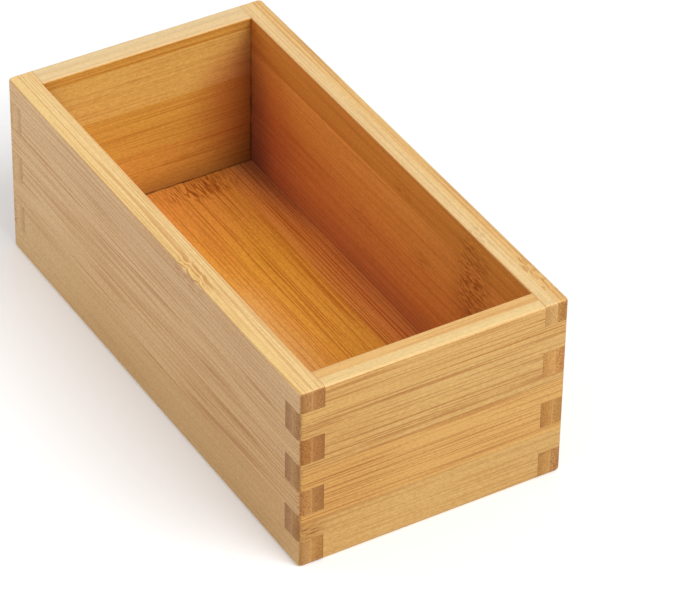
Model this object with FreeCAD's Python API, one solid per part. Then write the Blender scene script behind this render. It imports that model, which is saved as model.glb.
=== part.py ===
import FreeCAD, Part
import os

# Open bamboo box with finger-jointed walls, each glued up from two plies, and a bottom
# panel let into a groove.  Millimetres.  The origin is the centre of the footprint, on
# the surface the box stands on: +X to the right wall, +Y to the back wall, +Z up.

# Overall size
box_length = 177.8
box_width = 88.9
box_height = 63.5

# Walls: an outer and an inner ply of bamboo strips, glued face to face
outer_ply_thickness = 4.0
inner_ply_thickness = 4.0

# Bottom panel, held in a groove round the inside of the walls
panel_thickness = 5.0
panel_lift = 4.0            # clear height under the panel
groove_depth = 3.0
panel_edge_gap = 0.3        # room in the groove for the panel to swell

# Finger joints, counted up from the base: the side walls own the lowest and highest finger
bottom_finger_height = 9.6
finger_height = 9.0
socket_height = 9.6
least_top_finger_height = 5.0
glue_line = 0.08            # thickness of glue between a side wall and an end wall

# Edges eased by sanding after the glue-up
corner_radius = 1.6
base_radius = 1.4
rim_outer_radius = 1.0
rim_inner_radius = 0.7

# Working values of the construction
wall_thickness = outer_ply_thickness + inner_ply_thickness
half_width = box_width / 2
half_length = box_length / 2
inner_half_width = half_width - wall_thickness
inner_half_length = half_length - wall_thickness
overrun = 1.0               # how far a cutting solid passes the face it cuts
level_tolerance = 1e-4      # for telling edges apart by where they lie


def box_between(low, high):
    """A block between two opposite corners."""
    size = [b - a for a, b in zip(low, high)]
    return Part.makeBox(*size, FreeCAD.Vector(*low))


def centred_block(half_x, half_y, low_z, high_z):
    """A block centred on the origin in plan."""
    return box_between((-half_x, -half_y, low_z), (half_x, half_y, high_z))


def between(sign, near, far):
    """Distances near and far from the centre, on the side that sign gives, low one first."""
    return sorted((sign * near, sign * far))


def edges_at_level(shape, level, half_x, half_y):
    """The level edges at one height that lie within a rectangle centred on the origin."""
    def inside(edge):
        bounds = edge.BoundBox
        return (
            abs(bounds.ZMin - level) < level_tolerance
            and abs(bounds.ZMax - level) < level_tolerance
            and max(abs(bounds.XMin), abs(bounds.XMax)) < half_x + level_tolerance
            and max(abs(bounds.YMin), abs(bounds.YMax)) < half_y + level_tolerance
        )
    return [edge for edge in shape.Edges if inside(edge)]


def upright_edges(shape):
    """The straight edges that run from the base to the rim."""
    return [edge for edge in shape.Edges if abs(edge.BoundBox.ZLength - box_height) < level_tolerance]


def sanded_shell():
    """The four walls as one form: the outside with its eased edges, less the open inside."""
    shell = centred_block(half_width, half_length, 0, box_height)
    shell = shell.makeFillet(corner_radius, upright_edges(shell))
    shell = shell.makeFillet(rim_outer_radius, edges_at_level(shell, box_height, half_width, half_length))
    shell = shell.makeFillet(base_radius, edges_at_level(shell, 0, half_width, half_length))
    inside = centred_block(inner_half_width, inner_half_length, -overrun, box_height + overrun)
    shell = shell.cut(inside)
    rim = edges_at_level(shell, box_height, inner_half_width, inner_half_length)
    return shell.makeFillet(rim_inner_radius, rim)


def socket_levels():
    """The bottom and top height of each socket in a side wall's end."""
    pitch = finger_height + socket_height
    room = box_height - bottom_finger_height - least_top_finger_height
    count = int((room + finger_height) / pitch)
    lows = [bottom_finger_height + index * pitch for index in range(count)]
    return [(low, low + socket_height) for low in lows]


def side_wall_blank(sign, outer_depth, inner_depth):
    """A side wall's layer between two depths below its outer face, with its end sockets."""
    low_x, high_x = between(sign, half_width - outer_depth, half_width - inner_depth)
    blank = box_between((low_x, -half_length, 0), (high_x, half_length, box_height))
    socket_floor = inner_half_length - glue_line
    for end in (-1, 1):
        low_y, high_y = between(end, socket_floor, half_length + overrun)
        for low_z, high_z in socket_levels():
            socket = box_between((low_x - overrun, low_y, low_z), (high_x + overrun, high_y, high_z))
            blank = blank.cut(socket)
    return blank


def end_wall_blank(sign, outer_depth, inner_depth):
    """An end wall's layer between two depths below its outer face, with its fingers."""
    low_y, high_y = between(sign, half_length - outer_depth, half_length - inner_depth)
    shoulder = inner_half_width - glue_line
    blank = box_between((-shoulder, low_y, 0), (shoulder, high_y, box_height))
    for low_z, high_z in socket_levels():
        low_corner = (-half_width, low_y, low_z + glue_line)
        high_corner = (half_width, high_y, high_z - glue_line)
        blank = blank.fuse(box_between(low_corner, high_corner))
    return blank


def panel_space(edge_gap):
    """The groove's outline and height in the walls, less a gap round the edge."""
    reach = groove_depth - edge_gap
    return centred_block(
        inner_half_width + reach,
        inner_half_length + reach,
        panel_lift,
        panel_lift + panel_thickness,
    )


def wall_ply(shell, blank):
    """One ply of a wall: its blank, grooved for the panel and sanded with the box."""
    return shell.common(blank).cut(panel_space(0)).removeSplitter()


def wall_plies():
    """Every ply of the four walls, by the name of its piece."""
    shell = sanded_shell()
    walls = {
        "left_wall": (side_wall_blank, -1),
        "right_wall": (side_wall_blank, 1),
        "front_wall": (end_wall_blank, -1),
        "back_wall": (end_wall_blank, 1),
    }
    plies = {}
    for wall, (blank, sign) in walls.items():
        plies[wall + "_outer_ply"] = wall_ply(shell, blank(sign, 0, outer_ply_thickness))
        plies[wall + "_inner_ply"] = wall_ply(shell, blank(sign, outer_ply_thickness, wall_thickness))
    return plies


def bottom_panel():
    """The bottom panel, which reaches into the groove on all four sides."""
    return panel_space(panel_edge_gap)


def main():
    """Build every piece and write it to its own file."""
    os.makedirs("parts", exist_ok=True)
    pieces = wall_plies()
    pieces["bottom_panel"] = bottom_panel()
    for name, shape in pieces.items():
        shape.exportStep(os.path.join("parts", name + ".step"))
        print(name, "solids", len(shape.Solids), "volume", round(shape.Volume), "valid", shape.isValid())


main()
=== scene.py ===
"""Looks of an open bamboo box: laminated bamboo on every ply, a studio and a camera.

The box has four finger-jointed walls, each glued up from an outer and an inner ply, and a
bottom panel let into a groove.  Every ply is a sheet of edge-glued bamboo strips, so its
finish is built from its own strips, fibres, knuckles and end grain.

Lengths are millimetres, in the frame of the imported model, until Blender needs metres.
"""

import logging
import math
import random
from dataclasses import dataclass, replace
from enum import Enum

import bmesh
import bpy
from mathutils import Matrix, Vector

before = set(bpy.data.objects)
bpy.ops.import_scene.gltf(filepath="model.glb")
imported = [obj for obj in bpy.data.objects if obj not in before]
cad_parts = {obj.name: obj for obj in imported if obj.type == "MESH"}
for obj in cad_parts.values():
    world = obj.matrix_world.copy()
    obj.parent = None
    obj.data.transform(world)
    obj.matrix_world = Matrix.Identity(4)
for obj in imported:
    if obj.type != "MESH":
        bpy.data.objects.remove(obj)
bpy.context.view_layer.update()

LOG = logging.getLogger("bamboo_box")
MM = 0.001

Tree = bpy.types.NodeTree
Socket = bpy.types.NodeSocket
Colour = tuple[float, float, float, float]

# Settings of nodes
SMOOTH = {"interpolation_type": "SMOOTHSTEP"}
ADD = {"operation": "ADD"}
SUBTRACT = {"operation": "SUBTRACT"}
MULTIPLY = {"operation": "MULTIPLY"}
MULTIPLY_ADD = {"operation": "MULTIPLY_ADD"}
CLAMPED_PRODUCT = {"operation": "MULTIPLY", "use_clamp": True}
SCALE = {"operation": "SCALE"}
COLOUR_MIX = {"data_type": "RGBA"}

# Sizes of the finish, in millimetres
STRIP_SHIFT = 700.0     # most that two strips lie apart in the fibre pattern
WANDER = 0.5            # how wide the fibres wander
SEAM_WIDTH = 0.5        # how wide a glue seam between two strips is
RELIEF_DEPTH = 0.04     # how deep the grooves along the fibres are
CORNER_SHADE_REACH = 18.0     # how far from an inner corner the painted shade reaches

# Stains and painted shade, which multiply the wood's own colour
CLOUD_TINT = "FDFAF7"   # slow changes along a strip
FIBRE_TINT = "D4B389"   # lines of fibre bundles
BAND_TINT = "ECDBBD"    # bundles that lie close together
PORE_TINT = "ECE6DB"    # open pores
DOT_TINT = "ECE2CE"     # bundles cut across on a sawn end
SKIN_TINT = "EAE2D4"    # dense wood next to the skin on a sawn end
DASH_TINT = "C2A289"    # dashes of a knuckle, and glue seams
CORNER_SHADE_TINT = "997C7C"  # painted shade in each inner corner
JOINT_TINT = "957C69"   # open joints between pieces

WHITE = "FFFFFF"
GLUE_COLOUR = "DCB27A"  # dried glue between two plies
GLUE_STRENGTH = 0.22    # how much of it shows
LACQUER_IOR = 1.5       # satin lacquer
END_ROUGHNESS = 0.62    # sawn ends, which soak the lacquer up
EDGE_PORES = 0.6        # pores on the strips' edges, as a share of those on their faces
SHELTER_RAYS = 8        # rays that find each inner corner for the painted shade

# Half the width in millimetres, and the strength, of a dark joint line inside the box
CORNER_JOINT = (0.6, 0.6)
FLOOR_JOINT = (0.5, 0.4)


@dataclass(frozen=True)
class Fade:
    """How a value turns into a strength.

    Args:
        start: The value where the strength is least.
        full: The value where the strength is 1, which may be the lower one.
        least: The least strength.
    """

    start: float
    full: float
    least: float = 0.0

    def levels(self) -> dict[str, float]:
        """The inputs that make a Map Range node fade in this way."""
        return {"From Min": self.start, "From Max": self.full, "To Min": self.least}


# Where noise, which mostly stays between 0.3 and 0.7, shows as part of the fibre pattern
CLOUD_FADE = Fade(0.40, 0.68)
GROUP_FADE = Fade(0.40, 0.60, 0.92)
FIBRE_FADE = Fade(0.48, 0.63)
PORE_FADE = Fade(0.30, 0.70)
BAND_FADE = Fade(0.45, 0.57, 0.12)
DASH_FADE = Fade(0.50, 0.57)
JOINT_FADE = Fade(0.35, 0.60, 0.20)
GLOSS_FADE = Fade(0.30, 0.70)

# Where other measures show
PATCH_FADE = Fade(1.0, 0.25)    # distance from a patch's middle, as a share of its reach
BUNDLE_FADE = Fade(0.42, 0.20)  # distance from a cut bundle's middle, as a share of a cell
FACING_FADE = Fade(0.45, 0.85)  # how squarely a face looks along an axis
CORNER_SHADE_FADE = Fade(0.80, 0.25)  # how open a place is to the air, where the corner shade is painted
GLUE_FADE = Fade(0.10, 0.03)    # distance from a ply's glued face, as a share of the ply


def mm(value: float) -> float:
    """Millimetres as Blender's metres."""
    return value * MM


def grey(level: float) -> Colour:
    """A level from 0 to 1 as a colour that a ramp takes."""
    return (level, level, level, 1.0)


def linear(code: str) -> Colour:
    """Turn an sRGB hex colour into the linear colour that shaders take.

    Args:
        code: Six hex digits, such as "E8C48A".

    Returns:
        Linear red, green and blue, with an alpha of one.
    """
    channels = [int(code[start:start + 2], 16) / 255 for start in (0, 2, 4)]
    curve = [c / 12.92 if c <= 0.04045 else ((c + 0.055) / 1.055) ** 2.4 for c in channels]
    return (*curve, 1.0)


def add_node(
    tree: Tree,
    kind: str,
    settings: dict[str, object] | None = None,
    links: dict[int | str, object] | None = None,
) -> bpy.types.Node:
    """Add one shader node with its settings, input values and links.

    Args:
        tree: The node tree that gets the node.
        kind: The node's type, such as "ShaderNodeMath".
        settings: Attribute names of the node and their values.
        links: Input names or indices, each with a socket to link or a value to set.

    Returns:
        The new node.
    """
    node = tree.nodes.new(kind)
    for name, value in (settings or {}).items():
        setattr(node, name, value)
    for key, value in (links or {}).items():
        if isinstance(value, Socket):
            tree.links.new(value, node.inputs[key])
        else:
            node.inputs[key].default_value = value
    return node


class Axis(Enum):
    """An axis of the box's frame, by its place in a vector."""

    X = 0
    Y = 1
    Z = 2


class Blend(Enum):
    """How a colour joins the colour below it: as a stain over it, or in its place."""

    MULTIPLY = "MULTIPLY"
    REPLACE = "MIX"


class SkinSide(Enum):
    """The face of a ply that was next to the bamboo's hard, dense skin.

    Its value is that face's place through the ply.  The other face is the glued one.
    """

    OUTSIDE = 0.0
    INSIDE = 1.0


@dataclass(frozen=True)
class Strip:
    """One bamboo strip of a ply, counted from the ply's first edge.

    Args:
        width: Width across the ply, in millimetres.
        face: Colour of its broad face.
        end: Colour of its sawn end.
        lines: How strongly its fibre lines show, from 0 to 1.
        seam: How dark the glue seam at its far edge is, from 0 to 1.
    """

    width: float
    face: str
    end: str
    lines: float
    seam: float = 0.15


@dataclass(frozen=True)
class Patch:
    """A soft oval patch of a ply, the same through the whole thickness.

    Args:
        along: Its middle along the fibres, in millimetres.
        across: Its middle across the strips, in millimetres.
        half_length: How far it reaches along the fibres, in millimetres.
        half_width: How far it reaches across the strips, in millimetres.
        strength: How strongly it shows in the middle, from 0 to 1.
    """

    along: float
    across: float
    half_length: float
    half_width: float
    strength: float


@dataclass(frozen=True)
class Band(Patch):
    """A stretch where fibre bundles lie so close that they make darker, redder lines."""


@dataclass(frozen=True)
class Knuckle(Patch):
    """A bamboo node, where the culm had a joint: a patch of short dark dashes.

    Args:
        swirl: How far the fibres swing round it, in millimetres.
    """

    swirl: float


@dataclass(frozen=True)
class ToneAndShadePatch(Patch):
    """A broad soft stretch of another tone; inside the box some of them are painted shade.

    Args:
        tint: Its colour in the middle.
        blend: How that colour joins the wood's own.
    """

    tint: str
    blend: Blend = Blend.MULTIPLY


@dataclass(frozen=True)
class FibreSizes:
    """Length and width of each part of bamboo's fibre pattern, in millimetres.

    Real fibre bundles are about 0.3 mm thick; they are drawn up to twice as coarse here,
    so that they show at the distance of a whole box.

    Args:
        fine: Single fibre bundles on a planed face.
        pore: Short open pores between them.
        line: Darker lines where bundles lie close together.
        cloud: Slow changes of tone along a strip.
        bundle: Dots of cut bundles on a sawn end.
        dash: Short dark dashes in a knuckle.
        wave: How the fibres wander from a straight line.
        swirl: How the fibres swing round a knuckle.
        joint: How the darkness of a joint changes.
    """

    fine: tuple[float, float] = (60.0, 0.56)
    pore: tuple[float, float] = (1.2, 0.55)
    line: tuple[float, float] = (95.0, 1.9)
    cloud: tuple[float, float] = (110.0, 8.5)
    bundle: tuple[float, float] = (300.0, 0.6)
    dash: tuple[float, float] = (3.2, 0.46)
    wave: tuple[float, float] = (55.0, 9.0)
    swirl: tuple[float, float] = (6.0, 4.5)
    joint: tuple[float, float] = (5.0, 5.0)


@dataclass(frozen=True)
class Ply:
    """How a ply lies in the box.

    Args:
        along: The axis that the fibres run along.
        across: The axis that the strips lie side by side along.
        depth: The axis through the ply.
        first_edge: Where the first strip starts on the axis across, in millimetres.
        direction: 1 if the strips follow the axis across, -1 if they run against it.
        depth_range: The outer and the inner face on the axis through the ply.
    """

    along: Axis
    across: Axis
    depth: Axis
    first_edge: float
    direction: int
    depth_range: tuple[float, float]


@dataclass(frozen=True)
class Point:
    """What a ply's material knows of the point that it colours.

    Args:
        tree: The material's node tree.
        place: The point on the ply as (along, across, depth), in millimetres.
        stack: Its place across all the strips, from 0 to 1.
        through: Its place through the ply, from 0 outside to 1 inside.
        edge: 1 on the strips' planed edges.
        end: 1 on the strips' sawn ends.
        fibres: Its place in the fibre pattern, in millimetres.
        fine: The pattern of single fibre bundles there.
        dots: 1 in the middle of a cut bundle, 0 between bundles.
    """

    tree: Tree
    place: Socket
    stack: Socket
    through: Socket
    edge: Socket
    end: Socket
    fibres: Socket
    fine: Socket
    dots: Socket


@dataclass(frozen=True)
class Layer:
    """One step from the plain tone to the finished colour.

    Args:
        amount: How much of the tint shows, from 0 to 1.
        tint: Its colour.
        blend: How that colour joins the one below.
    """

    amount: Socket
    tint: str
    blend: Blend = Blend.MULTIPLY


@dataclass(frozen=True)
class LaminatedBamboo:
    """Laminated bamboo, planed, glued up in strips, sanded and given a thin satin lacquer.

    The eye gets long straight fibre lines on the faces, a paler sanded rim, and darker,
    finely dotted sawn ends.

    Args:
        name: Name of the material.
        ply: How the ply lies in the box.
        strips: The strips in order from the ply's first edge.
        rim: Colours of the strip edges, evenly spaced from the outer to the inner face.
        seed: Picks the fibre pattern, so that no two plies look alike.
        bands: Where fibre bundles lie so close that they make darker lines.
        knuckles: The bamboo nodes that show in this ply.
        tone_and_shade_patches: Where the ply is of another tone, and where shade is painted on it.
        joints: Thin dark lines where this piece meets another inside the box.
        rim_lines: How strongly lines show on the strip edges, as a share of the faces.
        corner_shade: How dark the painted shade is in each inner corner, from 0 to 1.
        gloss: Roughness of the lacquer between the fibres and along them.
        relief: How strongly fibres stand out of the surface, from 0 to 1.
        skin: The side of the ply with the densest fibre bundles.
        sizes: Sizes of the fibre pattern.
    """

    name: str
    ply: Ply
    strips: tuple[Strip, ...]
    rim: tuple[str, ...]
    seed: int
    bands: tuple[Band, ...] = ()
    knuckles: tuple[Knuckle, ...] = ()
    tone_and_shade_patches: tuple[ToneAndShadePatch, ...] = ()
    joints: tuple[Patch, ...] = ()
    rim_lines: float = 0.6
    corner_shade: float = 1.0
    gloss: tuple[float, float] = (0.40, 0.52)
    relief: float = 0.5
    skin: SkinSide = SkinSide.OUTSIDE
    sizes: FibreSizes = FibreSizes()

    def build(self) -> bpy.types.Material:
        """Make the material.

        Returns:
            The finished node material.
        """
        material = bpy.data.materials.new(self.name)
        material.use_nodes = True
        tree = material.node_tree
        tree.nodes.clear()
        point = self._point(tree)
        tone = self._plain_tone(point)
        for layer in self._layers(point):
            tone = add_node(
                tree, "ShaderNodeMix", {**COLOUR_MIX, "blend_type": layer.blend.value},
                {0: layer.amount, 6: tone, 7: linear(layer.tint)},
            ).outputs[2]
        shader = add_node(
            tree, "ShaderNodeBsdfPrincipled", None,
            {"Base Color": tone, "IOR": LACQUER_IOR, "Roughness": self._roughness(point),
             "Normal": self._relief(point)},
        )
        add_node(tree, "ShaderNodeOutputMaterial", None, {"Surface": shader.outputs["BSDF"]})
        return material

    def _total_width(self) -> float:
        """Width of all strips together."""
        return sum(strip.width for strip in self.strips)

    def _point(self, tree: Tree) -> Point:
        """Work out where a point lies on the ply and in its fibre pattern.

        Args:
            tree: The material's node tree.

        Returns:
            The point.
        """
        coordinates = add_node(tree, "ShaderNodeTexCoord").outputs["Object"]
        scaled = add_node(tree, "ShaderNodeVectorMath", SCALE, {0: coordinates, "Scale": 1 / MM})
        parts = add_node(tree, "ShaderNodeSeparateXYZ", None, {0: scaled.outputs[0]})
        order = (self.ply.along, self.ply.across, self.ply.depth)
        along, across, depth = (parts.outputs[axis.value] for axis in order)
        place = add_node(
            tree, "ShaderNodeCombineXYZ", None, {0: along, 1: across, 2: depth}
        ).outputs[0]
        last_edge = self.ply.first_edge + self.ply.direction * self._total_width()
        stack = add_node(
            tree, "ShaderNodeMapRange", None,
            {"Value": across, "From Min": self.ply.first_edge, "From Max": last_edge},
        ).outputs[0]
        outer, inner = self.ply.depth_range
        through = add_node(
            tree, "ShaderNodeMapRange", None, {"Value": depth, "From Min": outer, "From Max": inner}
        ).outputs[0]
        edge, end = self._surface_masks(tree)
        fibres = self._fibre_place(tree, place, stack)
        fine = self._streaks(tree, fibres, self.sizes.fine, roughness=0.7).outputs["Fac"]
        dots = self._bundle_dots(tree, fibres)
        return Point(tree, place, stack, through, edge, end, fibres, fine, dots)

    def _surface_masks(self, tree: Tree) -> tuple[Socket, Socket]:
        """Tell the strips' edges and ends from their faces, by the way that a surface looks.

        Args:
            tree: The material's node tree.

        Returns:
            A mask of the strips' planed edges, and one of their sawn ends.
        """
        geometry = add_node(tree, "ShaderNodeNewGeometry")
        facing = add_node(tree, "ShaderNodeSeparateXYZ", None, {0: geometry.outputs["Normal"]})
        masks = []
        for axis in (self.ply.across, self.ply.along):
            size = add_node(
                tree, "ShaderNodeMath", {"operation": "ABSOLUTE"}, {0: facing.outputs[axis.value]}
            )
            mask = add_node(
                tree, "ShaderNodeMapRange", SMOOTH,
                {"Value": size.outputs[0], **FACING_FADE.levels()},
            )
            masks.append(mask.outputs[0])
        return masks[0], masks[1]

    def _fibre_place(self, tree: Tree, place: Socket, stack: Socket) -> Socket:
        """The place in the fibre pattern: strips don't continue each other, and fibres wander.

        Args:
            tree: The material's node tree.
            place: The point on the ply, in millimetres.
            stack: Place across all the strips, from 0 to 1.

        Returns:
            The shifted place, in millimetres.
        """
        draw = random.Random(self.seed)
        shades = [grey(draw.random()) for _ in self.strips]
        shift = self._strip_tone(tree, stack, shades)
        shifted = add_node(
            tree, "ShaderNodeVectorMath", MULTIPLY_ADD,
            {0: shift, 1: (STRIP_SHIFT, 0.0, STRIP_SHIFT), 2: place},
        ).outputs[0]
        swings = tuple(replace(knuckle, strength=knuckle.swirl) for knuckle in self.knuckles)
        swing = self._patches(tree, place, swings)
        bent = shifted
        for size, amount in ((self.sizes.wave, WANDER), (self.sizes.swirl, swing)):
            drift = self._streaks(tree, shifted, size).outputs["Color"]
            # The noise is 0.5 on average, and moves fibres sideways only
            sideways = add_node(
                tree, "ShaderNodeVectorMath", MULTIPLY_ADD,
                {0: drift, 1: (0.0, 1.0, 1.0), 2: (0.0, -0.5, -0.5)},
            )
            bend = add_node(
                tree, "ShaderNodeVectorMath", SCALE, {0: sideways.outputs[0], "Scale": amount}
            )
            bent = add_node(
                tree, "ShaderNodeVectorMath", ADD, {0: bent, 1: bend.outputs[0]}
            ).outputs[0]
        return bent

    @staticmethod
    def _patches(tree: Tree, place: Socket, patches: tuple[Patch, ...]) -> Socket | float:
        """Soft oval patches, laid over each other.

        Args:
            tree: The material's node tree.
            place: The point on the ply, in millimetres.
            patches: The patches.

        Returns:
            The sum of their strengths here, or zero if there are none.
        """
        total: Socket | float = 0.0
        for patch in patches:
            offset = add_node(
                tree, "ShaderNodeVectorMath", SUBTRACT,
                {0: place, 1: (patch.along, patch.across, 0.0)},
            )
            share = add_node(
                tree, "ShaderNodeVectorMath", MULTIPLY,
                {0: offset.outputs[0], 1: (1 / patch.half_length, 1 / patch.half_width, 0.0)},
            )
            distance = add_node(
                tree, "ShaderNodeVectorMath", {"operation": "LENGTH"}, {0: share.outputs[0]}
            ).outputs["Value"]
            mask = add_node(
                tree, "ShaderNodeMapRange", SMOOTH,
                {"Value": distance, **PATCH_FADE.levels(), "To Max": patch.strength},
            )
            total = add_node(tree, "ShaderNodeMath", ADD, {0: mask.outputs[0], 1: total}).outputs[0]
        return total

    @staticmethod
    def _stretched(tree: Tree, place: Socket, size: tuple[float, float]) -> Socket:
        """Scale a place so that a pattern's cells get a length and a width.

        Args:
            tree: The material's node tree.
            place: A place in millimetres.
            size: Length and width of a cell, in millimetres.

        Returns:
            The place in cells.
        """
        length, width = size
        return add_node(
            tree, "ShaderNodeVectorMath", MULTIPLY,
            {0: place, 1: (1 / length, 1 / width, 1 / width)},
        ).outputs[0]

    def _streaks(
        self,
        tree: Tree,
        place: Socket,
        size: tuple[float, float],
        detail: float = 1.0,
        roughness: float = 0.6,
    ) -> bpy.types.Node:
        """Noise stretched along the fibres.

        Args:
            tree: The material's node tree.
            place: The place in the pattern, in millimetres.
            size: Length and width of a streak, in millimetres.
            detail: How many finer layers the noise has.
            roughness: How strong the finer layers are.

        Returns:
            The noise node.
        """
        return add_node(
            tree, "ShaderNodeTexNoise", None,
            {"Vector": self._stretched(tree, place, size), "Scale": 1.0, "Detail": detail,
             "Roughness": roughness},
        )

    def _bundle_dots(self, tree: Tree, fibres: Socket) -> Socket:
        """Fibre bundles that are cut across.

        Args:
            tree: The material's node tree.
            fibres: The place in the fibre pattern, in millimetres.

        Returns:
            1 in the middle of a bundle, 0 between bundles.
        """
        cells = add_node(
            tree, "ShaderNodeTexVoronoi", None,
            {"Vector": self._stretched(tree, fibres, self.sizes.bundle), "Scale": 1.0},
        )
        return add_node(
            tree, "ShaderNodeMapRange", SMOOTH,
            {"Value": cells.outputs["Distance"], **BUNDLE_FADE.levels()},
        ).outputs[0]

    def _strip_tone(self, tree: Tree, stack: Socket, colours: list[Colour]) -> Socket:
        """A colour that jumps from strip to strip.

        Args:
            tree: The material's node tree.
            stack: Place across all the strips, from 0 to 1.
            colours: One linear colour per strip.

        Returns:
            The colour.
        """
        stops = []
        start = 0.0
        for strip, colour in zip(self.strips, colours):
            stops.append((start / self._total_width(), colour))
            start += strip.width
        return self._ramp(tree, stack, stops, jumps=True)

    @staticmethod
    def _ramp(
        tree: Tree, value: Socket, stops: list[tuple[float, Colour]], jumps: bool = False
    ) -> Socket:
        """A colour that changes with a value.

        Args:
            tree: The material's node tree.
            value: The value, from 0 to 1.
            stops: Values with their linear colours, the lowest first.
            jumps: Whether the colour stays as it is up to the next stop.

        Returns:
            The colour.
        """
        node = add_node(tree, "ShaderNodeValToRGB", None, {0: value})
        node.color_ramp.interpolation = "CONSTANT" if jumps else "LINEAR"
        elements = node.color_ramp.elements
        elements.remove(elements[1])
        for index, (position, colour) in enumerate(stops):
            element = elements[0] if index == 0 else elements.new(position)
            element.position = position
            element.color = colour
        return node.outputs["Color"]

    def _plain_tone(self, point: Point) -> Socket:
        """The colour of faces, edges and sawn ends before any pattern.

        Args:
            point: The point to colour.

        Returns:
            The colour.
        """
        tree = point.tree
        tone = self._strip_tone(tree, point.stack, [linear(strip.face) for strip in self.strips])
        ends = self._strip_tone(tree, point.stack, [linear(strip.end) for strip in self.strips])
        last = len(self.rim) - 1
        stops = [(index / last, linear(code)) for index, code in enumerate(self.rim)]
        rim = self._ramp(tree, point.through, stops)
        for mask, colour in ((point.edge, rim), (point.end, ends)):
            links = {0: mask, 6: tone, 7: colour}
            tone = add_node(tree, "ShaderNodeMix", COLOUR_MIX, links).outputs[2]
        return tone

    def _layers(self, point: Point) -> list[Layer]:
        """All that shows over the plain tone.

        Args:
            point: The point to colour.

        Returns:
            The layers, the lowest first.
        """
        layers = [Layer(self._clouds(point), CLOUD_TINT)]
        layers += self._tone_and_shade_layers(point)
        layers += [Layer(self._lines(point), FIBRE_TINT), Layer(self._pores(point), PORE_TINT)]
        if self.bands:
            layers.append(Layer(self._band_lines(point), BAND_TINT))
        layers += self._end_layers(point)
        if self.knuckles:
            layers.append(Layer(self._dashes(point), DASH_TINT))
        layers.append(Layer(self._seams(point), DASH_TINT))
        if self.joints:
            # Painted shade in each inner corner, then the dark joint lines
            layers.append(Layer(self._painted_corner_shade(point), CORNER_SHADE_TINT))
            layers.append(Layer(self._open_joints(point), JOINT_TINT))
        return layers

    def _clouds(self, point: Point) -> Socket:
        """Slow changes of tone along each strip.

        Args:
            point: The point to colour.

        Returns:
            How strongly they show.
        """
        cloud = self._streaks(point.tree, point.fibres, self.sizes.cloud).outputs["Fac"]
        return add_node(
            point.tree, "ShaderNodeMapRange", SMOOTH, {"Value": cloud, **CLOUD_FADE.levels()}
        ).outputs[0]

    def _tone_and_shade_layers(self, point: Point) -> list[Layer]:
        """The ply's patches of another tone and of painted shade, which leave its rim alone.

        Args:
            point: The point to colour.

        Returns:
            One layer for each patch.
        """
        tree = point.tree
        face = add_node(
            tree, "ShaderNodeMapRange", None, {"Value": point.edge, "To Min": 1.0, "To Max": 0.0}
        ).outputs[0]
        layers = []
        for patch in self.tone_and_shade_patches:
            inside = self._patches(tree, point.place, (patch,))
            amount = add_node(tree, "ShaderNodeMath", MULTIPLY, {0: face, 1: inside}).outputs[0]
            layers.append(Layer(amount, patch.tint, patch.blend))
        return layers

    def _lines(self, point: Point) -> Socket:
        """Thin darker lines of fibre bundles, strongest where they lie close together.

        Args:
            point: The point to colour.

        Returns:
            How strongly they show.
        """
        tree = point.tree
        strengths = [grey(strip.lines) for strip in self.strips]
        strip = self._strip_tone(tree, point.stack, strengths)
        share = add_node(
            tree, "ShaderNodeMapRange", None,
            {"Value": point.edge, "To Min": 1.0, "To Max": self.rim_lines},
        ).outputs[0]
        line = self._streaks(tree, point.fibres, self.sizes.line, detail=3.0).outputs["Fac"]
        group = add_node(
            tree, "ShaderNodeMapRange", SMOOTH, {"Value": line, **GROUP_FADE.levels()}
        ).outputs[0]
        shown = add_node(
            tree, "ShaderNodeMapRange", SMOOTH, {"Value": point.fine, **FIBRE_FADE.levels()}
        ).outputs[0]
        for factor in (strip, share, group):
            shown = add_node(tree, "ShaderNodeMath", MULTIPLY, {0: shown, 1: factor}).outputs[0]
        return shown

    def _pores(self, point: Point) -> Socket:
        """Faint short pores, which keep the lacquered faces from looking like plastic.

        Args:
            point: The point to colour.

        Returns:
            How strongly they show.
        """
        pores = self._streaks(point.tree, point.fibres, self.sizes.pore).outputs["Fac"]
        most = add_node(
            point.tree, "ShaderNodeMapRange", None,
            {"Value": point.edge, "To Min": 1.0, "To Max": EDGE_PORES},
        )
        return add_node(
            point.tree, "ShaderNodeMapRange", None,
            {"Value": pores, **PORE_FADE.levels(), "To Max": most.outputs[0]},
        ).outputs[0]

    def _band_lines(self, point: Point) -> Socket:
        """Darker, redder lines in the ply's bands, broken up by the fibre pattern.

        Args:
            point: The point to colour.

        Returns:
            How strongly they show.
        """
        tree = point.tree
        bands = self._patches(tree, point.place, self.bands)
        shown = add_node(
            tree, "ShaderNodeMapRange", SMOOTH, {"Value": point.fine, **BAND_FADE.levels()}
        )
        return add_node(
            tree, "ShaderNodeMath", CLAMPED_PRODUCT, {0: shown.outputs[0], 1: bands}
        ).outputs[0]

    def _end_layers(self, point: Point) -> list[Layer]:
        """Dotted sawn ends, darker towards the skin side and with a line of glue at the other.

        Args:
            point: The point to colour.

        Returns:
            The three layers.
        """
        tree = point.tree
        skin = self.skin.value
        glued = 1.0 - skin
        dense = add_node(
            tree, "ShaderNodeMapRange", SMOOTH,
            {"Value": point.through, "From Min": glued, "From Max": skin},
        ).outputs[0]
        glue = add_node(
            tree, "ShaderNodeMapRange", None,
            {"Value": point.through, "From Min": abs(glued - GLUE_FADE.start),
             "From Max": abs(glued - GLUE_FADE.full), "To Max": GLUE_STRENGTH},
        ).outputs[0]
        layers = []
        for mask, tint, blend in (
            (point.dots, DOT_TINT, Blend.MULTIPLY),
            (dense, SKIN_TINT, Blend.MULTIPLY),
            (glue, GLUE_COLOUR, Blend.REPLACE),
        ):
            shown = add_node(tree, "ShaderNodeMath", MULTIPLY, {0: mask, 1: point.end})
            layers.append(Layer(shown.outputs[0], tint, blend))
        return layers

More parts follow.
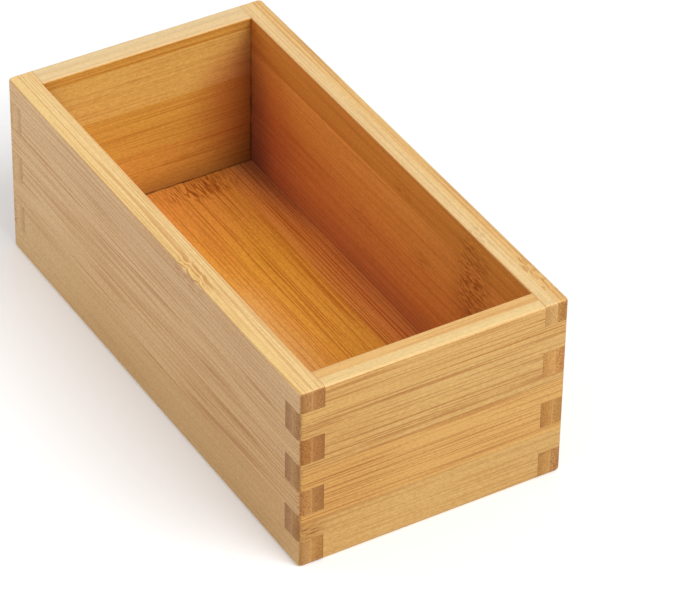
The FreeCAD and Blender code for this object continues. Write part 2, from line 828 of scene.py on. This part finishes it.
    def _dashes(self, point: Point) -> Socket:
        """Short dark dashes where the ply has a knuckle.

        Args:
            point: The point to colour.

        Returns:
            How strongly they show.
        """
        tree = point.tree
        dash = self._streaks(tree, point.place, self.sizes.dash, detail=0.0).outputs["Fac"]
        dark = add_node(tree, "ShaderNodeMapRange", SMOOTH, {"Value": dash, **DASH_FADE.levels()})
        inside = self._patches(tree, point.place, self.knuckles)
        return add_node(
            tree, "ShaderNodeMath", MULTIPLY, {0: dark.outputs[0], 1: inside}
        ).outputs[0]

    def _seams(self, point: Point) -> Socket:
        """A thin dark glue seam at each strip's far edge.

        Args:
            point: The point to colour.

        Returns:
            How strongly they show.
        """
        half = SEAM_WIDTH / 2 / self._total_width()
        stops = [(0.0, grey(0.0))]
        edge = 0.0
        for strip in self.strips[:-1]:
            edge += strip.width / self._total_width()
            stops += [(edge - half, grey(0.0)), (edge, grey(strip.seam)), (edge + half, grey(0.0))]
        return self._ramp(point.tree, point.stack, stops)

    def _painted_corner_shade(self, point: Point) -> Socket:
        """Painted shade in each inner corner, darkest where a point is least open to the air, and
        none of it on sawn ends.

        Args:
            point: The point to colour.

        Returns:
            How strongly it shows.
        """
        tree = point.tree
        open_air = add_node(
            tree, "ShaderNodeAmbientOcclusion", {"samples": SHELTER_RAYS},
            {"Distance": mm(CORNER_SHADE_REACH)},
        )
        closed = add_node(
            tree, "ShaderNodeMapRange", None,
            {"Value": open_air.outputs["AO"], **CORNER_SHADE_FADE.levels()},
        )
        most = add_node(
            tree, "ShaderNodeMapRange", None,
            {"Value": point.end, "To Min": self.corner_shade, "To Max": 0.0},
        )
        return add_node(
            tree, "ShaderNodeMath", MULTIPLY, {0: closed.outputs[0], 1: most.outputs[0]}
        ).outputs[0]

    def _open_joints(self, point: Point) -> Socket:
        """Thin uneven dark lines where the ply meets other pieces.

        Args:
            point: The point to colour.

        Returns:
            How strongly they show.
        """
        tree = point.tree
        joints = self._patches(tree, point.place, self.joints)
        uneven = self._streaks(tree, point.place, self.sizes.joint).outputs["Fac"]
        shown = add_node(tree, "ShaderNodeMapRange", None, {"Value": uneven, **JOINT_FADE.levels()})
        return add_node(
            tree, "ShaderNodeMath", CLAMPED_PRODUCT, {0: shown.outputs[0], 1: joints}
        ).outputs[0]

    def _roughness(self, point: Point) -> Socket:
        """Satin lacquer, a little duller along the fibres and on the thirsty sawn ends.

        Args:
            point: The point to colour.

        Returns:
            The roughness.
        """
        between, along = self.gloss
        face = add_node(
            point.tree, "ShaderNodeMapRange", None,
            {"Value": point.fine, **GLOSS_FADE.levels(), "To Min": between, "To Max": along},
        )
        return add_node(
            point.tree, "ShaderNodeMix", {"data_type": "FLOAT"},
            {0: point.end, 2: face.outputs[0], 3: END_ROUGHNESS},
        ).outputs[0]

    def _relief(self, point: Point) -> Socket:
        """Shallow grooves along the fibres, and pits on the sawn ends.

        Args:
            point: The point to colour.

        Returns:
            The bent normal.
        """
        tree = point.tree
        pits = add_node(tree, "ShaderNodeMath", MULTIPLY, {0: point.dots, 1: point.end})
        height = add_node(tree, "ShaderNodeMath", ADD, {0: point.fine, 1: pits.outputs[0]})
        return add_node(
            tree, "ShaderNodeBump", {"invert": True},
            {"Strength": self.relief, "Distance": mm(RELIEF_DEPTH), "Height": height.outputs[0]},
        ).outputs[0]


def give_finish(node: str, finish: LaminatedBamboo) -> None:
    """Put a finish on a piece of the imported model, in place of the one that it has.

    Args:
        node: The piece's name.
        finish: Its new finish.
    """
    material = finish.build()
    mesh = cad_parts[node].data
    mesh.materials.clear()
    mesh.materials.append(material)
    LOG.info("%s: %s", node, material.name)


@dataclass
class Wall:
    """A wall of the box: an outer and an inner ply, glued face to face.

    Args:
        name: The wall's name, which its plies' names start with.
        outer: The outer ply's finish.
        inner: The inner ply's finish.
    """

    name: str
    outer: LaminatedBamboo
    inner: LaminatedBamboo

    def dress(self) -> None:
        """Give both plies their finish."""
        give_finish(f"{self.name}_outer_ply", self.outer)
        give_finish(f"{self.name}_inner_ply", self.inner)


@dataclass
class BottomPanel:
    """The bottom panel, a single sheet of strips that run the length of the box.

    Args:
        finish: The panel's finish.
    """

    finish: LaminatedBamboo

    def dress(self) -> None:
        """Give the panel its finish."""
        give_finish("bottom_panel", self.finish)


@dataclass
class StudioCamera:
    """A long lens that looks down on the front left corner of the box.

    Args:
        aim: The point in the middle of its view, in millimetres.
        distance: Its distance from there, in millimetres.
        azimuth: How far its view is turned from the box's length, in degrees.
        elevation: How far it looks down, in degrees.
        roll: How far it is turned about its own axis, in degrees.
        lens: Focal length, in millimetres.
        sensor: Width of the sensor, in millimetres.
    """

    aim: tuple[float, float, float] = (13.4, -13.2, 26.0)
    distance: float = 1285.8
    azimuth: float = 31.12
    elevation: float = 37.48
    roll: float = 0.94
    lens: float = 227.84
    sensor: float = 36.0

    def build(self) -> None:
        """Make the camera and set it as the scene's own."""
        azimuth = math.radians(self.azimuth)
        elevation = math.radians(self.elevation)
        level = math.cos(elevation)
        ahead = (math.sin(azimuth) * level, math.cos(azimuth) * level, -math.sin(elevation))
        forward = Vector(ahead)
        turn = forward.to_track_quat("-Z", "Y").to_matrix().to_4x4()
        turn = turn @ Matrix.Rotation(math.radians(self.roll), 4, "Z")
        place = Vector(self.aim) - forward * self.distance
        data = bpy.data.cameras.new("camera")
        data.lens = self.lens
        data.sensor_width = self.sensor
        data.sensor_fit = "HORIZONTAL"
        camera = bpy.data.objects.new("camera", data)
        camera.matrix_world = Matrix.Translation(place * MM) @ turn
        bpy.context.scene.collection.objects.link(camera)
        bpy.context.scene.camera = camera


@dataclass
class SoftBox:
    """A square lamp that points at the box.

    Args:
        name: The lamp's name.
        place: Its middle, in millimetres.
        side: Its width and height, in millimetres.
        power: Its power, in watts.
    """

    name: str
    place: tuple[float, float, float]
    side: float
    power: float

    def build(self) -> None:
        """Make the lamp."""
        data = bpy.data.lights.new(self.name, "AREA")
        data.shape = "SQUARE"
        data.size = mm(self.side)
        data.energy = self.power
        lamp = bpy.data.objects.new(self.name, data)
        turn = (-Vector(self.place)).to_track_quat("-Z", "Y").to_matrix().to_4x4()
        lamp.matrix_world = Matrix.Translation(Vector(self.place) * MM) @ turn
        bpy.context.scene.collection.objects.link(lamp)


@dataclass(frozen=True)
class MattWhiteBoard:
    """Painted white board, which has no gloss and shows the box's shadow softly.

    Args:
        colour: Its colour as it lights the box.
        seen_colour: Its colour as the camera sees it.
        lift: Light that is added where the camera sees it, so that it looks white.
    """

    colour: str = "E6E6E6"
    seen_colour: str = WHITE
    lift: str = "606468"

    def build(self) -> bpy.types.Material:
        """Make the material.

        Returns:
            The finished node material.
        """
        material = bpy.data.materials.new("matt_white_board")
        material.use_nodes = True
        tree = material.node_tree
        tree.nodes.clear()
        seen = add_node(tree, "ShaderNodeLightPath").outputs["Is Camera Ray"]
        colour = add_node(
            tree, "ShaderNodeMix", COLOUR_MIX,
            {0: seen, 6: linear(self.colour), 7: linear(self.seen_colour)},
        )
        board = add_node(tree, "ShaderNodeBsdfDiffuse", None, {"Color": colour.outputs[2]})
        lift = add_node(
            tree, "ShaderNodeEmission", None, {"Color": linear(self.lift), "Strength": seen}
        )
        lit = add_node(tree, "ShaderNodeAddShader", None, {0: board.outputs[0], 1: lift.outputs[0]})
        add_node(tree, "ShaderNodeOutputMaterial", None, {"Surface": lit.outputs[0]})
        return material


@dataclass
class Studio:
    """A pale floor under a white, evenly lit studio.

    Args:
        floor_side: Length of the floor's sides, in millimetres.
        floor_finish: The floor's finish.
        ambient: Strength of the light from all round.
        backdrop: Strength of the white that the camera and the gloss see behind the box.
        lamps: The lamps.
    """

    floor_side: float = 8000.0
    floor_finish: MattWhiteBoard = MattWhiteBoard()
    ambient: float = 0.50
    backdrop: float = 1.0
    lamps: tuple[SoftBox, ...] = (
        SoftBox("key_soft_box", (986.0, -2702.0, 2878.0), 2900.0, 118.0),
        SoftBox("fill_soft_box", (-700.0, 560.0, 240.0), 500.0, 1.8),
    )

    def build(self) -> None:
        """Make the lamps, the world and the floor."""
        for lamp in self.lamps:
            lamp.build()
        self._world()
        self._floor()

    def _world(self) -> None:
        """Plain light from all round, which shows white behind the box and in its gloss."""
        world = bpy.data.worlds.new("studio_light")
        world.use_nodes = True
        tree = world.node_tree
        tree.nodes.clear()
        path = add_node(tree, "ShaderNodeLightPath")
        shown = path.outputs["Is Camera Ray"]
        for ray in ("Is Glossy Ray", "Is Transmission Ray"):
            seen = add_node(
                tree, "ShaderNodeMath", {"operation": "MAXIMUM"}, {0: shown, 1: path.outputs[ray]}
            )
            shown = seen.outputs[0]
        strength = add_node(
            tree, "ShaderNodeMix", {"data_type": "FLOAT"},
            {0: shown, 2: self.ambient, 3: self.backdrop},
        )
        light = add_node(
            tree, "ShaderNodeBackground", None,
            {"Color": linear(WHITE), "Strength": strength.outputs[0]},
        )
        add_node(tree, "ShaderNodeOutputWorld", None, {"Surface": light.outputs[0]})
        bpy.context.scene.world = world

    def _floor(self) -> None:
        """A wide pale floor at the height of the box's base."""
        mesh = bpy.data.meshes.new("studio_floor")
        build = bmesh.new()
        bmesh.ops.create_grid(build, x_segments=1, y_segments=1, size=mm(self.floor_side) / 2)
        build.to_mesh(mesh)
        build.free()
        floor = bpy.data.objects.new("studio_floor", mesh)
        bpy.context.scene.collection.objects.link(floor)
        mesh.materials.append(self.floor_finish.build())


@dataclass
class BambooBox:
    """The whole box, with the sizes that its finishes need, in millimetres.

    Args:
        width: Outer width, from left to right.
        length: Outer length, from front to back.
        height: Height of the walls.
        ply_thickness: Thickness of one ply; a wall has two.
        panel_tongue: How far the bottom panel reaches into the walls.
        panel_levels: Heights of the panel's lower and upper face.
        joint_height: Where the corner joints inside are darkest.
        joint_fade: How far above and below that they fade away.
        past_ends: So much more than the box's length that a line hardly fades along it.
    """

    width: float = 88.9
    length: float = 177.8
    height: float = 63.5
    ply_thickness: float = 4.0
    panel_tongue: float = 2.7
    panel_levels: tuple[float, float] = (4.0, 9.0)
    joint_height: float = 25.0
    joint_fade: float = 37.5
    past_ends: float = 200.0

    @property
    def inner_half_width(self) -> float:
        """Half the distance between the left and the right wall."""
        return self.width / 2 - self.ply_thickness * 2

    @property
    def inner_half_length(self) -> float:
        """Half the distance between the front and the back wall."""
        return self.length / 2 - self.ply_thickness * 2

    def _wall_ply(self, depth: Axis, side: int, layers_in: int) -> Ply:
        """How a ply of a wall lies.

        Args:
            depth: The axis through the wall: X for a side wall, Y for an end wall.
            side: -1 for the left or the front wall, 1 for the right or the back wall.
            layers_in: How many plies lie outside this one.

        Returns:
            The ply.
        """
        if depth is Axis.X:
            along, half = Axis.Y, self.width / 2
        else:
            along, half = Axis.X, self.length / 2
        outer = side * (half - self.ply_thickness * layers_in)
        inner = outer - side * self.ply_thickness
        return Ply(along, Axis.Z, depth, self.height, -1, (outer, inner))

    def _wall_joints(
        self,
        reach: float,
        far_end: tuple[float, float] = CORNER_JOINT,
        floor: tuple[float, float] = FLOOR_JOINT,
    ) -> tuple[Patch, ...]:
        """Thin dark lines where a wall meets its neighbours and the bottom panel.

        Args:
            reach: Distance from the wall's middle to its neighbours.
            far_end: Half the width, and the strength, of the line at the back or the right.
            floor: The same for the line along the panel.

        Returns:
            The lines at both ends and the one along the panel.
        """
        lines = [
            Patch(end, self.joint_height, half_width, self.joint_fade, strength)
            for end, (half_width, strength) in ((reach, far_end), (-reach, CORNER_JOINT))
        ]
        return (*lines, Patch(0.0, self.panel_levels[1], self.past_ends, *floor))

    def left_wall(self) -> Wall:
        """Describe the left wall.

        Returns:
            The wall with its finishes.
        """
        outer = LaminatedBamboo(
            "laminated_bamboo_left_outer",
            self._wall_ply(Axis.X, -1, 0),
            strips=(
                Strip(12, "E6BE8B", "C18D4E", lines=0.58),
                Strip(17, "E8BF8A", "BE833A", lines=0.8),
                Strip(17, "E6BC85", "CD9853", lines=0.75, seam=0.3),
                Strip(17.5, "DFB67C", "C89858", lines=0.18),
            ),
            rim=("FAD58B", "F6D08A", "FBD692"),
            rim_lines=1.25,
            bands=(
                Band(-25, 63.5, 13, 6, 0.8),
                Band(60, 51, 34, 1, 0.4),
                Band(-10, 42.5, 42, 1.8, 0.45),
                Band(12, 35.4, 62, 1.1, 0.5),
                Band(36, 22.5, 20, 0.9, 0.55),
                Band(-4, 17.6, 88, 1.1, 0.8),
                Band(-50, 26, 30, 1, 0.4),
            ),
            tone_and_shade_patches=(
                ToneAndShadePatch(-70, 32, 60, 60, 1, "FAF7F2"),
                ToneAndShadePatch(78, 34, 56, 70, 0.5, "EDC792", Blend.REPLACE),
            ),
            knuckles=(Knuckle(-25, 63.5, 14, 6.5, 0, 2.8),),
            seed=3,
        )
        inner = LaminatedBamboo(
            "laminated_bamboo_left_inner",
            self._wall_ply(Axis.X, -1, 1),
            strips=(
                Strip(14, "F2AE5A", "BB8442", lines=0.45),
                Strip(17, "EEA856", "B67B39", lines=0.4),
                Strip(17, "F2AC58", "B7803D", lines=0.45),
                Strip(15.5, "E9A250", "C6924B", lines=0.4),
            ),
            rim=("F7D290", "F9D694", "F6CC88"),
            rim_lines=1.2,
            bands=(
                Band(30, 52, 40, 1.2, 0.6),
                Band(-35, 38, 45, 1, 0.6),
                Band(15, 26, 60, 1.2, 0.5),
            ),
            knuckles=(Knuckle(36, 40.5, 8, 8.5, 0.55, 1.2),),
            joints=self._wall_joints(self.inner_half_length),
            skin=SkinSide.INSIDE,
            seed=5,
        )
        return Wall("left_wall", outer, inner)

    def right_wall(self) -> Wall:
        """Describe the right wall.

        Returns:
            The wall with its finishes.
        """
        outer = LaminatedBamboo(
            "laminated_bamboo_right_outer",
            self._wall_ply(Axis.X, 1, 0),
            strips=(
                Strip(13, "E4B672", "C59246", lines=0.7),
                Strip(17, "DFAE68", "D69F55", lines=0.8),
                Strip(17, "E4B672", "C8954B", lines=0.6),
                Strip(16.5, "DCAA64", "C49252", lines=0.8),
            ),
            rim=("EBC786", "EEBE73", "F5CD89"),
            rim_lines=0.8,
            bands=(
                Band(-76, 63.5, 19, 6, 1),
                Band(50, 63.5, 42, 5, 0.4),
                Band(20, 56, 55, 1.1, 0.6),
                Band(-30, 44, 50, 1.4, 0.5),
                Band(40, 35, 38, 0.9, 0.7),
                Band(-8, 20, 70, 1.2, 0.5),
                Band(-48, 9, 30, 1.6, 0.5),
            ),
            knuckles=(
                Knuckle(-73, 63.5, 13, 6, 0, 2.6),
                Knuckle(34, 25, 7, 8.5, 0.6, 1.2),
            ),
            seed=7,
        )
        inner = LaminatedBamboo(
            "laminated_bamboo_right_inner",
            self._wall_ply(Axis.X, 1, 1),
            strips=(
                Strip(11.5, "E09D47", "DBAE6D", lines=0.42),
                Strip(17, "F2AF5A", "DCA75F", lines=0.45),
                Strip(17, "F1AA5A", "CA9447", lines=0.45),
                Strip(18, "EDA65F", "CF9E56", lines=0.45),
            ),
            rim=("F0CB8B", "F6D498", "F2CD8E"),
            rim_lines=0.8,
            bands=(
                Band(44, 56, 38, 0.9, 0.5),
                Band(48, 45.8, 38, 0.8, 0.8),
                Band(40, 33.5, 42, 1.2, 0.6),
                Band(45, 24.5, 38, 0.9, 0.4),
                Band(38, 12, 30, 1, 0.5),
            ),
            knuckles=(
                Knuckle(-50.5, 46, 13, 24, 1, 0.6),
                Knuckle(-23, 37, 6, 5.5, 0.4, 0.8),
                Knuckle(12, 30, 9, 5, 0.4, 0.8),
                Knuckle(-10, 54.5, 8, 3.5, 0.35, 0.6),
            ),
            tone_and_shade_patches=(
                # Painted shade, darker and redder low on the wall towards the floor
                ToneAndShadePatch(45, 4, 120, 44, 0.5, "D48D6B", Blend.REPLACE),
                # Painted shade in the corner with the back wall, from two patches
                ToneAndShadePatch(81, 24, 40, 44, 0.75, "DFC5F6"),
                ToneAndShadePatch(81, 20, 17, 46, 1, "CED7ED"),
                ToneAndShadePatch(-47, 36, 14, 12, 0.35, "DDC2CE"),
            ),
            corner_shade=0.15,
            joints=self._wall_joints(self.inner_half_length, far_end=(0.7, 0.8)),
            skin=SkinSide.INSIDE,
            seed=11,
        )
        return Wall("right_wall", outer, inner)

    def front_wall(self) -> Wall:
        """Describe the front wall.

        Returns:
            The wall with its finishes.
        """
        outer = LaminatedBamboo(
            "laminated_bamboo_front_outer",
            self._wall_ply(Axis.Y, -1, 0),
            strips=(
                Strip(10.5, "E0B369", "C99E66", lines=0.8),
                Strip(18, "DDB169", "C99E66", lines=0.8),
                Strip(18.5, "E0AE60", "C89D64", lines=0.74, seam=0.3),
                Strip(16.5, "DAAF68", "C99E64", lines=0.45),
            ),
            rim=("F6D492", "F8D898", "F2CE8E"),
            rim_lines=0.3,
            bands=(
                Band(13, 58.1, 32, 0.8, 0.7),
                Band(7, 54.8, 34, 1.3, 0.9),
                Band(-18, 51.6, 24, 1, 0.5),
                Band(-23, 42, 15, 1.3, 0.4),
                Band(5, 35.8, 42, 1.2, 0.5),
                Band(-30, 30.4, 24, 0.8, 0.65),
                Band(-28, 24.5, 14, 4.2, 0.3),
                Band(10, 22, 30, 0.7, 0.5),
                Band(-3, 17.9, 48, 0.8, 0.25),
                Band(5, 14.6, 32, 0.6, 0.2),
            ),
            tone_and_shade_patches=(
                ToneAndShadePatch(-36, 34, 36, 44, 1, "F9F2E8"),
                ToneAndShadePatch(-42, 12.5, 9, 6, 0.8, "EFE2C5"),
            ),
            knuckles=(Knuckle(-41, 12.6, 6.5, 4.6, 0.75, 1.8),),
            seed=13,
            sizes=FibreSizes(fine=(60.0, 0.46)),
        )
        inner = LaminatedBamboo(
            "laminated_bamboo_front_inner",
            self._wall_ply(Axis.Y, -1, 1),
            strips=(
                Strip(13, "F2AE5A", "C09160", lines=0.45),
                Strip(18, "EEA856", "BE8F5E", lines=0.4),
                Strip(16, "F2AC58", "C09160", lines=0.45),
                Strip(16.5, "E9A250", "C29362", lines=0.4),
            ),
            rim=("EDBC72", "F1C076", "EBBA72"),
            rim_lines=0.9,
            bands=(
                Band(10, 55, 30, 1, 0.6),
                Band(-12, 40, 30, 1.2, 0.6),
                Band(8, 27, 35, 1, 0.6),
            ),
            knuckles=(Knuckle(14, 41, 7, 8, 0.5, 1.2),),
            joints=self._wall_joints(self.inner_half_width, floor=(0.5, 0.5)),
            skin=SkinSide.INSIDE,
            seed=17,
        )
        return Wall("front_wall", outer, inner)

    def back_wall(self) -> Wall:
        """Describe the back wall.

        Returns:
            The wall with its finishes.
        """
        outer = LaminatedBamboo(
            "laminated_bamboo_back_outer",
            self._wall_ply(Axis.Y, 1, 0),
            strips=(
                Strip(15, "E4B672", "ECC896", lines=0.8),
                Strip(17.5, "DFAE68", "ECC896", lines=0.6),
                Strip(17, "E4B672", "ECC896", lines=0.8),
                Strip(14, "DCAA64", "ECC896", lines=0.7),
            ),
            rim=("EECF99", "F0D39D", "ECCB98"),
            rim_lines=0.2,
            bands=(
                Band(-8, 54, 36, 1.1, 0.6),
                Band(16, 42, 30, 1, 0.7),
                Band(-4, 26, 42, 1.3, 0.6),
                Band(12, 9, 30, 1.2, 0.5),
            ),
            knuckles=(Knuckle(-20, 22.5, 7, 8, 0.6, 1.2),),
            seed=19,
        )
        inner = LaminatedBamboo(
            "laminated_bamboo_back_inner",
            self._wall_ply(Axis.Y, 1, 1),
            strips=(
                Strip(3.7, "DFAB4E", "EAC494", lines=0.5),
                Strip(16.9, "E9C068", "EAC494", lines=0.33),
                Strip(16.9, "E2B04E", "EAC494", lines=0.42),
                Strip(26, "E2A94C", "EAC494", lines=0.42),
            ),
            rim=("F0CE94", "F4D49C", "EECA92"),
            rim_lines=0.3,
            bands=(
                Band(0, 62.6, 40, 0.5, 0.6),
                Band(0, 60.2, 40, 0.6, 0.7),
                Band(-5, 53.4, 12, 0.8, 0.4),
                Band(22, 42, 16, 0.6, 0.6),
                Band(8, 38.6, 32, 0.9, 0.9),
                Band(-8, 36.6, 14, 0.7, 0.6),
                Band(-6, 33.2, 18, 0.9, 0.9),
                Band(12, 28.5, 26, 0.8, 0.6),
                Band(24, 23, 16, 0.8, 0.6),
                Band(10, 18.5, 26, 1, 0.7),
            ),
            # Painted shade in the corner with the right wall
            tone_and_shade_patches=(ToneAndShadePatch(37, 35, 28, 32, 1, "DFBCC5"),),
            joints=self._wall_joints(self.inner_half_width, far_end=(0.7, 0.8), floor=(0.6, 0.8)),
            skin=SkinSide.INSIDE,
            seed=23,
        )
        return Wall("back_wall", outer, inner)

    def bottom_panel(self) -> BottomPanel:
        """Describe the bottom panel.

        Returns:
            The panel with its finish.
        """
        first_edge = -self.inner_half_width - self.panel_tongue
        end = self.inner_half_length
        low, high = self.panel_levels
        finish = LaminatedBamboo(
            "laminated_bamboo_panel",
            Ply(Axis.Y, Axis.X, Axis.Z, first_edge, 1, (high, low)),
            strips=(
                Strip(9.7, "FBA459", "B98652", lines=0.8, seam=0.05),
                Strip(22.4, "FEB852", "B98652", lines=0.7, seam=0.05),
                Strip(13.6, "FDB748", "B98652", lines=0.6, seam=0.05),
                Strip(18, "FFBC48", "B98652", lines=0.85, seam=0.05),
                Strip(14.6, "FFBA55", "B98652", lines=0.9),
            ),
            rim=("ECC486", "ECC486"),
            bands=(
                Band(20, 3, 60, 0.6, 0.35),
                Band(-10, 8, 55, 0.6, 0.35),
                Band(0, 14, 70, 0.6, 0.4),
                Band(-25, 18.5, 50, 0.6, 0.4),
                Band(10, 24.6, 70, 0.9, 0.6),
            ),
            tone_and_shade_patches=(
                ToneAndShadePatch(85, 10, 60, 60, 0.45, "E69050", Blend.REPLACE),
                # Painted shade along the foot of the right wall, darker and redder
                ToneAndShadePatch(0, 38, 140, 18.5, 1, "F5DBF6"),
                # Painted shade in the corner of the right and the back wall
                ToneAndShadePatch(82, 38, 56, 12, 1, "CECBF3"),
                ToneAndShadePatch(0, -6, 50, 16, 0.65, "FDC25F", Blend.REPLACE),
            ),
            knuckles=(
                Knuckle(75, 14.5, 8.5, 18, 0.9, 1),
                Knuckle(-20, -22, 6, 8, 0.5, 1.2),
            ),
            joints=(
                Patch(end, 0, 0.6, self.past_ends, 0.9),
                Patch(-end, 0, 0.6, self.past_ends, 0.6),
            ),
            corner_shade=0.2,
            gloss=(0.14, 0.24),
            relief=0.15,
            seed=29,
        )
        return BottomPanel(finish)

    def dress(self) -> None:
        """Give every piece its finish."""
        for wall in (self.left_wall(), self.right_wall(), self.front_wall(), self.back_wall()):
            wall.dress()
        self.bottom_panel().dress()


def main() -> None:
    """Make the camera and the studio, then dress the box."""
    logging.basicConfig(level=logging.INFO, format="%(name)s: %(message)s")
    bpy.context.scene.view_settings.view_transform = "Standard"
    StudioCamera().build()
    Studio().build()
    BambooBox().dress()


if __name__ == "__main__":
    main()
